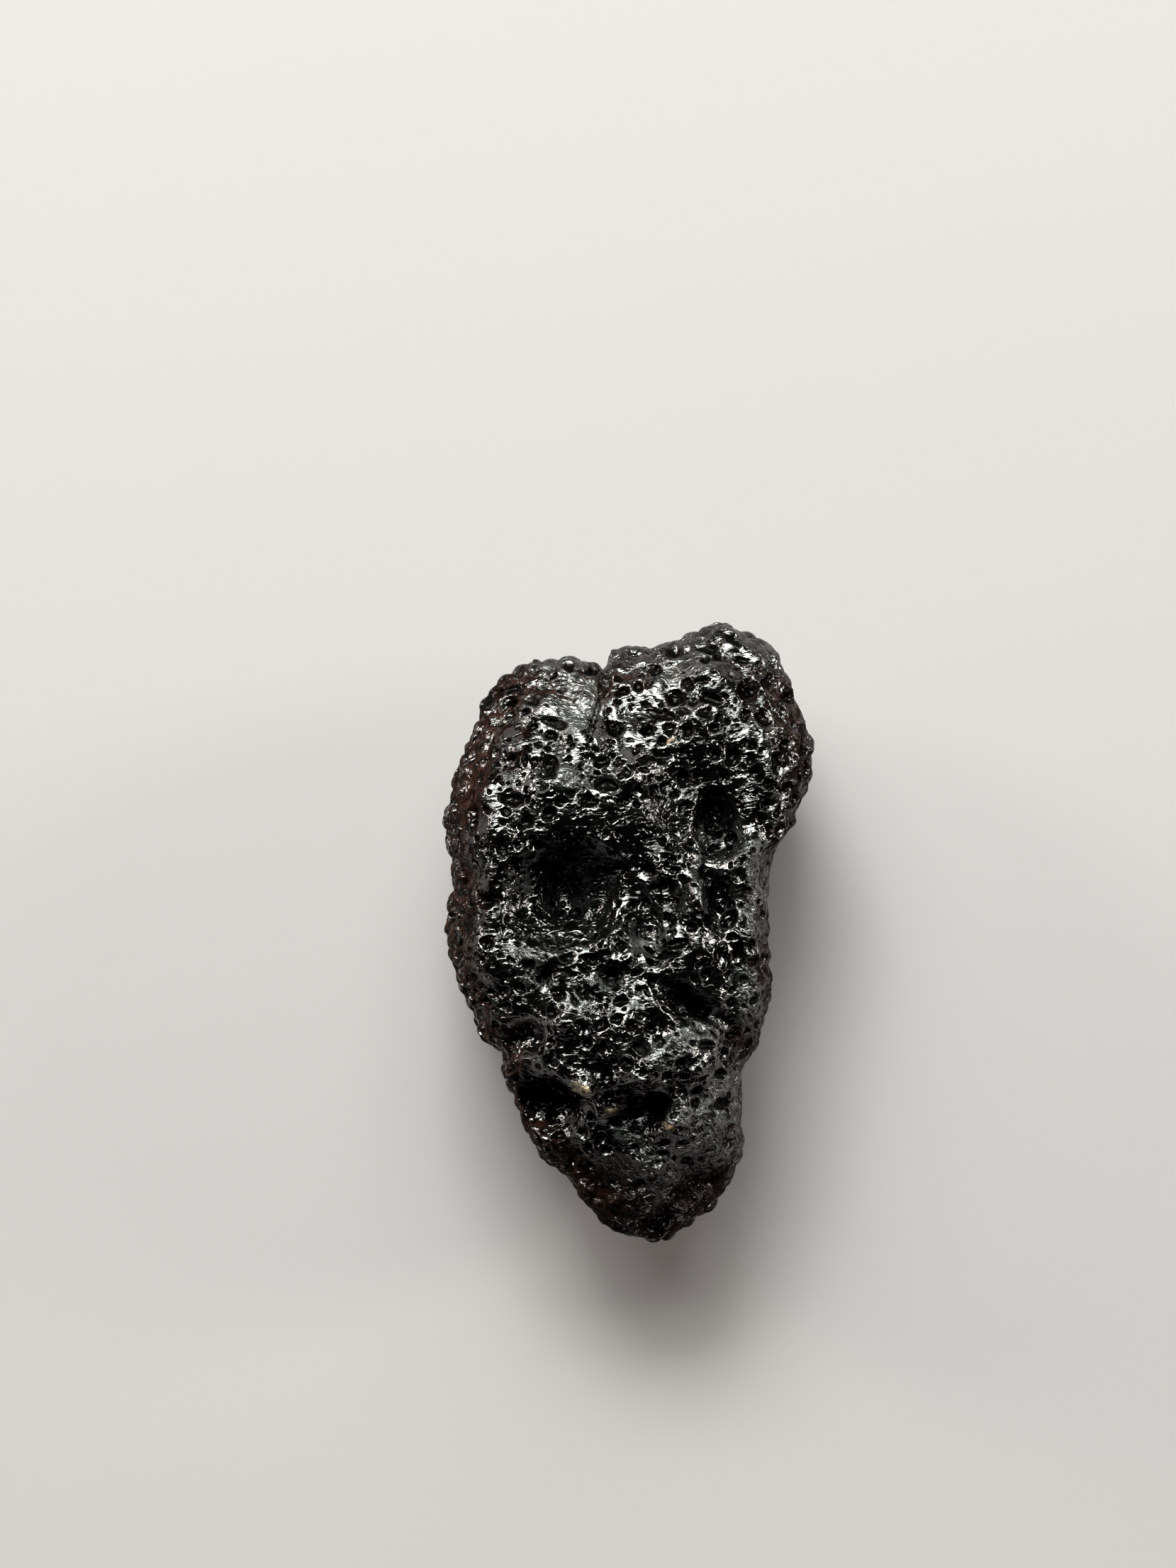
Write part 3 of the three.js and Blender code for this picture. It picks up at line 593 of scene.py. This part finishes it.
def fineRelief(points, up, shares):
    # the pits, the crack, the beads, the lumps and the wrinkles added up, as a height along the
    # normal. A bead is (1 - (1.4 * distance / spacing)**2)**0.75, and lumps and wrinkles are
    # layered noise. The shares gain the reach and the half width of the nearest pit, from which
    # the shader paints shade inside it and sharpens its lip
    x, y, _ = points.T
    upper = smoothStep(up, 0.05, 0.25)
    ragged, raggedSize = detail["pitRaggedness"], detail["pitRaggedSize"]
    reach, size = placedPits(x + ragged * layeredNoise(points, raggedSize, 81, 2),
                             y + ragged * layeredNoise(points, raggedSize, 91, 2))
    reach = reach + 3 * (1 - upper)
    # scattered pits keep clear of the placed ones and of smooth skin, and are rarer on the flanks
    clear = np.clip(1.5 - reach, 0, 1) * 3 + shares["smooth"] * 2 + shares["flank"] * 0.6
    for spacing, seed in zip(detail["scatterSizes"], (11, 23)):
        otherReach, otherSize = scatteredPits(points, spacing, seed)
        otherReach = otherReach + clear
        size = np.where(otherReach < reach, otherSize, size)
        reach = np.minimum(reach, otherReach)
    shares["pitReach"] = np.clip(reach, 0, 1.5)
    shares["pitSize"] = size
    height = pitRelief(reach, size)
    height += crackRelief(x, y) * upper
    away, number = nearestSeeds(points, detail["beadSize"], 61)
    bead = np.clip(1 - (away / detail["beadSize"] * 1.4) ** 2, 0, 1) ** 0.75 * (0.4 + 0.6 * number)
    height += detail["beadHeight"] * bead * (0.08 + 0.92 * shares["flank"])
    lumps = layeredNoise(points, detail["lumpSize"], 5, 3)
    height += detail["lumpHeight"] * lumps * (1 - 0.5 * shares["smooth"])
    squeezed = points * (1.0, 3.0, 1.5)  # so that the wrinkles run across the stone
    squeezed[:, 1] += layeredNoise(points, 0.8, 31, 2) * 1.2
    height += detail["wrinkleHeight"] * layeredNoise(squeezed, detail["wrinkleSize"], 47, 2)
    return height


def makeStoneMesh():
    # the grid's corners on the broad form, moved along their normals by the fine relief, cut off
    # flat at the resting spot and seated in the CAD part's box
    corners, faces = boxGrid()
    direction = gridDirections(corners)
    points, up = skinPoints(direction)
    middle = (points.min(axis=0) + points.max(axis=0)) / 2
    normal = cornerNormals(points, faces)
    shares = skinShares(points, up)
    height = fineRelief(points, up, shares)
    height -= detail["drawnIn"] + detail["beadsDrawnIn"] * shares["flank"]
    points = points + normal * height[:, None]
    floorLevel = -stone["keelDepth"] + stone["flatSpotCut"]
    points[:, 2] = np.maximum(points[:, 2], floorLevel)
    # over the middle of the box, with the flat spot at its bottom
    cadMiddle = (np.array(cadLow) + np.array(cadHigh)) / 2 / mm
    points += (cadMiddle[0] - middle[0], cadMiddle[1] - middle[1], cadLow[2] / mm - floorLevel)
    mesh = bpy.data.meshes.new("tektiteSkin")
    mesh.from_pydata((points * mm).tolist(), [], [f for block in faces for f in block.tolist()])
    mesh.polygons.foreach_set("use_smooth", np.ones(len(mesh.polygons), bool))
    for name in skinNames:
        mesh.attributes.new(name, "FLOAT", "POINT").data.foreach_set("value", shares[name])
    mesh.update()
    print("stone mesh:", len(mesh.vertices), "corners,",
          sum(len(b) * (b.shape[1] - 2) for b in faces), "triangles,",
          "size", np.round(points.max(axis=0) - points.min(axis=0), 2), "mm")
    return mesh


# shader maths, written as plain expressions

class Socket:
    # wraps a node's output, so that + - * and / add Math nodes
    def __init__(self, shader, link):
        self.shader = shader
        self.link = link

    def maths(self, operation, *values):
        return self.shader.node("ShaderNodeMath", {"operation": operation},
                                dict(enumerate(values)))

    def __add__(self, other):
        return self.maths("ADD", self, other)

    def __sub__(self, other):
        return self.maths("SUBTRACT", self, other)

    def __rsub__(self, other):
        return self.maths("SUBTRACT", other, self)

    def __mul__(self, other):
        return self.maths("MULTIPLY", self, other)

    def __truediv__(self, other):
        return self.maths("DIVIDE", self, other)

    def __rtruediv__(self, other):
        return self.maths("DIVIDE", other, self)

    __radd__ = __add__
    __rmul__ = __mul__

    def output(self, index):
        # another output of the same node
        return Socket(self.shader, self.link.node.outputs[index])

    def larger(self, other):
        return self.maths("MAXIMUM", self, other)

    def clamped(self, high=1.0):
        # no less than 0 and no more than high
        return self.shader.node("ShaderNodeClamp", {}, {0: self, 2: high})

    def between(self, low, high):
        # 0 at low, 1 at high, and 3t*t - 2t*t*t between
        return self.shader.node("ShaderNodeMapRange", {"interpolation_type": "SMOOTHSTEP"},
                                {"Value": self, "From Min": low, "From Max": high})


class Shader:
    # a new material, and the one method that puts nodes in it
    def __init__(self, name):
        self.material = bpy.data.materials.new(name)
        self.material.use_nodes = True
        self.tree = self.material.node_tree
        self.tree.nodes.clear()

    def node(self, kind, settings, values, output=0):
        # a node's settings come first, then each socket's value or link
        made = self.tree.nodes.new(kind)
        for key, value in settings.items():
            setattr(made, key, value)
        for key, value in values.items():
            socket = made.inputs[key]
            if isinstance(value, Socket):
                self.tree.links.new(value.link, socket)
            else:
                socket.default_value = value
        return Socket(self, made.outputs[output]) if len(made.outputs) else made

    def mixColour(self, factor, first, second):
        # first where factor is 0, second where it is 1; sockets 6 and 7 are the colours
        return self.node("ShaderNodeMix", {"data_type": "RGBA"},
                         {0: factor, 6: first, 7: second}, output=2)


glass = {
    "black": (0.0006, 0.0006, 0.00055, 1),
    # the rind's brown is partly the stone's own and partly a painted warm reflection
    "rindAndReflectionColour": (0.017, 0.0068, 0.0047, 1),
    # a painted sheen: paler grey-green on the sheens and the smooth places
    "paintedSheenColour": (0.015, 0.018, 0.0155, 1),
    "earthColour": (0.2, 0.135, 0.07, 1),
    "smoothPaintedSheen": 0.5,  # how much of the painted sheen colour the smooth places take
    # gloss: sharp glints, and a soft haze with more roughness on some kinds of skin
    "ior": 1.8,
    "glintRoughness": 0.08,
    "hazeRoughness": 0.16,
    "addedRoughness": {"sheen": 0.06, "speck": 0.3, "smooth": 0.1},
    "mottleRoughness": 0.1,
    "rindRoughness": 0.5,
    "haze": 0.31,  # its share of the gloss
    "addedHaze": {"sheen": 0.25, "smooth": 0.5, "speck": 0.5, "flank": 0.2},
    # plain noises: size in mm
    "mottleSize": 0.5,
    "grainSize": 0.06,
    "bendSize": 0.7,
    "bend": 0.5,  # how far that one bends the drawn-out noises and the small pits, mm
    # spots: size, layers, and the values of the noise that become 0 and 1
    "spots": {
        "speckles": (0.3, 3.0, 0.36, 0.6),  # of the brown rind
        "glints": (0.14, 2.0, 0.52, 0.64),  # in the painted shade of the hollows and on the flanks
        "earth": (0.12, 3.0, 0.4, 0.55),
    },
    # drawn-out noises: size, lengths along x, y and z, turn in radians, layers, distortion
    "drawnOut": {
        "across": (0.2, (2.6, 0.85, 1.2), 0.25, 3.0, 0.8),  # wrinkles across the stone
        "strokes": (0.17, (0.6, 2.6, 1.0), 0.75, 3.0, 0.5),  # slanting, of the tip and the sheens
        "ripples": (0.17, (2.4, 0.8, 1.2), -0.4, 2.5, 0.6),  # scales of the smooth places
        "streaks": (0.125, (4.2, 0.9, 1.5), 0.12, 2.0, 0.6),  # fine, to break the glints up
        "patches": (0.24, (1.5, 0.9, 1.2), 0.4, 3.0, 0.5),  # black, on the flanks
    },
    "gapEdge": (0.4, 0.5),  # the strokes' noise at their gaps and at their sides
    "patchEdge": (0.5, 0.6),
    "streakEdge": (0.42, 0.58),  # of the painted sheen colour
    "grainHeight": 0.003,
    "acrossHeight": 0.03,
    "strokeHeight": 0.1,
    "rippleHeight": 0.11,
    "streakHeight": 0.027,
    "streakLoss": {"smooth": 0.5, "flank": 0.6},  # share of the streaks lost there
    "streakGain": {"sheen": 1.2, "wrinkle": -0.3},
    # small bubble pits and the smallest: spacing in mm, lengths, depth in radii
    "bubbles": [(0.42, (1.15, 0.9, 1.0), 1.45), (0.24, (1.2, 0.85, 1.0), 1.2)],
    "bubbleRadius": (0.28, 0.26),  # the least and how much more, in spacings
    "bubbleDark": (0.6, 0.84),  # where the painted shade inside begins and stops fading, in radii
    "bubbleLoss": {"smooth": 0.8, "flank": 0.85, "wrinkle": 0.3},
    "bowlLoss": 0.6,  # the same for the insides of the mesh's pits
    "beadHeight": 0.65,  # of the beads that take the small pits' place on the flanks, in radii
    "fineBeads": 0.4,
    "lipDepth": 0.26,  # of the mesh's pits, in half widths
    "bowlEdge": (0.55, 0.8),  # where the painted shade inside them begins and stops fading
    "wideBowl": (0.2, 0.3),  # drawn in by the half width over the first, up to the second
    # dullness and painted shade, 0 glossy to 1 the dull, dark rind
    "dullest": 0.94,
    # how dark the painted shade of the shaded places is
    "shadeDarkness": 0.97,
    "glintShine": 0.6,  # what the glints take off again
    "bubbleShade": (0.9, 0.6),  # painted shade in the small pits, and in the smallest
    "edgeShade": (0.08, 0.42),  # between these facings the flanks go dull and dark, a painted shade
    "edgeSheen": 0.6,  # what the sheens take off that
    "patchDull": 0.95,
    "patchSheen": 0.7,
    "beadShine": 0.9,
    "rindDull": (0.3, 0.5),  # everywhere, and more in its speckles
    "gapShade": {"sheen": 0.4, "wrinkle": 0.4},  # painted shade in the gaps between the strokes
    "patchBlack": 0.6,  # how much of the brown the patches take away
}


def makeGlass():
    # dull rind over gloss by the dullness, which also paints shade in the shaded places, the pits
    # and the gaps, and in the gloss sharp glints under soft haze, all on one bump: the lips,
    # (small pits + wrinkles) * rough, beads, strokes, ripples, streaks and grain added up
    shader = Shader("blackNaturalGlass")
    place = shader.node("ShaderNodeTexCoord", {}, {}, output=3)
    inMillimetres = shader.node("ShaderNodeVectorMath", {"operation": "SCALE"},
                                {0: place, "Scale": 1 / mm})
    share = {name: shader.node("ShaderNodeAttribute", {"attribute_name": name}, {}, output=2)
             for name in skinNames}

    def sumOf(weights):
        # each kind of skin's share times its weight, added up
        return sum(share[kind] * weight for kind, weight in weights.items())

    def leftBy(losses):
        # what is left where each kind of skin takes its part: 1 - share * loss, multiplied up
        left = 1
        for kind, loss in losses.items():
            left = left * (1 - share[kind] * loss)
        return left

    def stretched(vector, lengths, turn=0.0):
        # makes a pattern longer by these factors, along axes turned about z by this angle
        return shader.node("ShaderNodeMapping", {"vector_type": "TEXTURE"},
                           {"Vector": vector, "Scale": lengths, "Rotation": (0, 0, turn)})

    def noise(vector, size, layers, distortion=0.0):
        return shader.node("ShaderNodeTexNoise", {"noise_dimensions": "3D"},
                           {"Vector": vector, "Scale": 1 / size, "Detail": layers,
                            "Roughness": 0.55, "Distortion": distortion})

    def bubblePits(spacing, lengths, depth):
        # one pit to a cell, each of its own radius, with reach = distance / radius. Its height is
        # -(1 - reach)**2, the painted shade inside it fades from 1 to 0 towards its edge, and the
        # bead that can take its place is 1 - reach**2 high
        cell = shader.node("ShaderNodeTexVoronoi", {"voronoi_dimensions": "3D", "feature": "F1"},
                           {"Vector": stretched(bent, lengths), "Scale": 1 / spacing,
                            "Randomness": 1.0})
        number = shader.node("ShaderNodeSeparateColor", {}, {0: cell.output(1)})
        least, more = glass["bubbleRadius"]
        radius = number * more + least
        reach = (cell / radius).clamped()
        fall = 1 - reach
        return (fall * fall * radius * (-depth * spacing),
                1 - reach.between(*glass["bubbleDark"]),
                (1 - reach * reach) * radius * (glass["beadHeight"] * spacing))

    bend = glass["bend"]
    bent = shader.node("ShaderNodeVectorMath", {"operation": "MULTIPLY_ADD"}, {
        0: noise(inMillimetres, glass["bendSize"], 2.0).output(1), 1: (bend, bend, bend),
        2: inMillimetres})
    drawnOut = {name: noise(stretched(bent, lengths, turn), size, layers, distortion)
                for name, (size, lengths, turn, layers, distortion) in glass["drawnOut"].items()}
    mottle = noise(inMillimetres, glass["mottleSize"], 3.0)
    grain = noise(inMillimetres, glass["grainSize"], 2.0)
    spots = {name: noise(inMillimetres, size, layers).between(low, high)
             for name, (size, layers, low, high) in glass["spots"].items()}
    speckles, glints, earth = spots["speckles"], spots["glints"], spots["earth"]
    # painted shade in the gaps between the strokes, where their bumps dip
    gaps = 1 - drawnOut["strokes"].between(*glass["gapEdge"])
    patches = drawnOut["patches"].between(*glass["patchEdge"])

    # the mesh's pits: the painted shade inside them, and their rounded lip, -(1 - reach**3) up to
    # the edge
    wideFrom, wideMost = glass["wideBowl"]
    wide = (share["pitSize"] - wideFrom).clamped(wideMost)
    meshPitShade = 1 - (share["pitReach"] + wide).between(*glass["bowlEdge"])
    lipReach = share["pitReach"].clamped()
    lip = (lipReach * lipReach * lipReach - 1) * share["pitSize"] * glass["lipDepth"]

    pitHeight, pitInside, bead = bubblePits(*glass["bubbles"][0])
    fineHeight, fineInside, fineBead = bubblePits(*glass["bubbles"][1])
    rough = leftBy(glass["bubbleLoss"]) * (1 - meshPitShade * glass["bowlLoss"])
    height = (lip
              + (pitHeight + fineHeight + drawnOut["across"] * glass["acrossHeight"]) * rough
              + (bead + fineBead * glass["fineBeads"]) * share["flank"]
              + drawnOut["strokes"] * (share["wrinkle"] + share["sheen"]) * glass["strokeHeight"]
              + drawnOut["ripples"] * share["smooth"] * glass["rippleHeight"]
              + drawnOut["streaks"] * (1 - meshPitShade) * leftBy(glass["streakLoss"])
              * (1 + sumOf(glass["streakGain"])) * glass["streakHeight"]
              + grain * glass["grainHeight"])
    bump = shader.node("ShaderNodeBump", {}, {"Height": height, "Strength": 1.0, "Distance": mm})

    # painted sheen: the pale colour along the sheens' streaks and on the smooth places
    colour = shader.mixColour(share["sheen"] * drawnOut["streaks"].between(*glass["streakEdge"])
                              + share["smooth"] * glass["smoothPaintedSheen"],
                              glass["black"], glass["paintedSheenColour"])
    colour = shader.mixColour(share["speck"] * earth, colour, glass["earthColour"])
    roughness = (sumOf(glass["addedRoughness"]) + mottle * glass["mottleRoughness"]
                 + glass["hazeRoughness"])
    haze = (sumOf(glass["addedHaze"]) + glass["haze"]) * (1 - share["paintedShade"])
    sharp, soft = (shader.node("ShaderNodeBsdfPrincipled", {}, {
        "Base Color": colour, "Roughness": value, "IOR": glass["ior"], "Normal": bump})
        for value in (glass["glintRoughness"], roughness))
    glossy = shader.node("ShaderNodeMixShader", {}, {0: haze, 1: sharp, 2: soft})

    # the rind: brownish on the flanks and in its own places, partly the stone's own brown and
    # partly a painted warm reflection, and black as painted shade in the hollows and pits
    brown = (share["rim"].larger(share["rind"]) * (1 - share["paintedShade"]) * (1 - meshPitShade) * speckles
             * (1 - patches * glass["patchBlack"]))
    rind = shader.node("ShaderNodeBsdfPrincipled", {}, {
        "Base Color": shader.mixColour(brown, glass["black"], glass["rindAndReflectionColour"]),
        "Roughness": glass["rindRoughness"], "IOR": 1.0, "Normal": bump})

    # the flanks are dull and dark where they turn away, a painted shade, and dull in the patches,
    # but not on the beads
    facing = shader.node("ShaderNodeLayerWeight", {}, {"Blend": 0.5, "Normal": bump}, output=1)
    turned = (facing.between(*glass["edgeShade"]) * (1 - share["sheen"] * glass["edgeSheen"])
              * (1 - glints * glass["glintShine"]))
    patched = patches * (1 - share["sheen"] * glass["patchSheen"]) * glass["patchDull"]
    flankShadeAndDull = (share["rim"] * (turned + patched)
                 * (1 - pitInside * share["flank"] * glass["beadShine"]))
    pitShade, finePitShade = glass["bubbleShade"]
    rindDull, speckleDull = glass["rindDull"]
    # painted shade of the shaded places, the pits and the gaps, with the dullness of the rind and
    # the flanks
    dullAndShade = (share["paintedShade"] * (glass["shadeDarkness"] - glints * glass["glintShine"]) + meshPitShade
            + (pitInside * pitShade + fineInside * finePitShade) * rough
            + flankShadeAndDull + share["rind"] * (rindDull + speckles * speckleDull)
            + gaps * sumOf(glass["gapShade"])).clamped()
    surface = shader.node("ShaderNodeMixShader", {},
                          {0: dullAndShade * glass["dullest"], 1: glossy, 2: rind})
    shader.node("ShaderNodeOutputMaterial", {}, {"Surface": surface})
    return shader.material


# floor, lights and camera

studio = {
    "floorColour": (0.246, 0.236, 0.24, 1),
    "floorRoughness": 0.85,
    "floorSize": 1.2,  # m, as are the other lengths here
    "background": 0.006,
    "boxes": [  # name, direction, distance, width and height, watts, colour
        ("keyBox", (-0.14, 0.72, 0.64), 0.35, (0.16, 0.09), 2.15, (0.97, 1, 0.94)),
        ("softBox", (-0.1, 0.75, 0.7), 0.36, (0.4, 0.24), 3.0, (0.97, 1, 0.94)),
        ("leftBox", (-0.86, 0.5, 0.3), 0.4, (0.1, 0.14), 1.4, (1, 0.9, 0.82)),
        ("rightBox", (0.9, 0.2, 0.28), 0.4, (0.1, 0.14), 1.4, (1, 0.93, 0.86)),
    ],
    "lens": 88.8,  # mm
    "sensorHeight": 36,  # mm
    "eye": (-0.001287, 0.004631, 0.1242),  # the camera's place over the stone's foot
}


def makeFloor():
    # one square from -half to half at the stone's resting height, with a matt paper finish
    half = studio["floorSize"] / 2
    z = cadLow[2]
    mesh = bpy.data.meshes.new("floorSheet")
    mesh.from_pydata([(-half, -half, z), (half, -half, z), (half, half, z), (-half, half, z)],
                     [], [(0, 1, 2, 3)])
    floor = bpy.data.objects.new("floor", mesh)
    scene.collection.objects.link(floor)
    shader = Shader("palePaper")
    surface = shader.node("ShaderNodeBsdfPrincipled", {}, {
        "Base Color": studio["floorColour"], "Roughness": studio["floorRoughness"]})
    shader.node("ShaderNodeOutputMaterial", {}, {"Surface": surface})
    mesh.materials.append(shader.material)


def makeLight(name, direction, distance, size, power, colour):
    # a soft box at direction * distance from the stone's foot, turned to face it
    light = bpy.data.lights.new(name, "AREA")
    light.shape = "RECTANGLE"
    light.size, light.size_y = size
    light.energy = power
    light.color = colour
    lamp = bpy.data.objects.new(name, light)
    place = Vector(direction).normalized() * distance
    lamp.location = place + Vector((0, 0, cadLow[2]))
    lamp.rotation_euler = place.to_track_quat("Z", "Y").to_euler()
    scene.collection.objects.link(lamp)


def makeStudio():
    for box in studio["boxes"]:
        makeLight(*box)
    world = bpy.data.worlds.new("dimRoom")
    world.use_nodes = True
    world.node_tree.nodes["Background"].inputs["Strength"].default_value = studio["background"]
    scene.world = world
    scene.view_settings.view_transform = "Standard"


def makeCamera():
    # straight above, with the narrow tip towards the bottom of the picture
    camera = bpy.data.cameras.new("overheadCamera")
    camera.lens = studio["lens"]
    camera.sensor_fit = "VERTICAL"
    camera.sensor_height = studio["sensorHeight"]
    camera.clip_start = 0.002
    camera.clip_end = 10
    eye = bpy.data.objects.new("overheadCamera", camera)
    eye.location = Vector(studio["eye"]) + Vector((0, 0, cadLow[2]))
    scene.collection.objects.link(eye)
    scene.camera = eye


# put together

tektite = bpy.data.objects.new("tektiteStone", makeStoneMesh())
scene.collection.objects.link(tektite)
tektite.data.materials.append(makeGlass())
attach(tektite, "root")
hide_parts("tektite")
print("stone: shaped and finished")

makeFloor()
makeStudio()
makeCamera()
print("studio: floor, lights and camera")
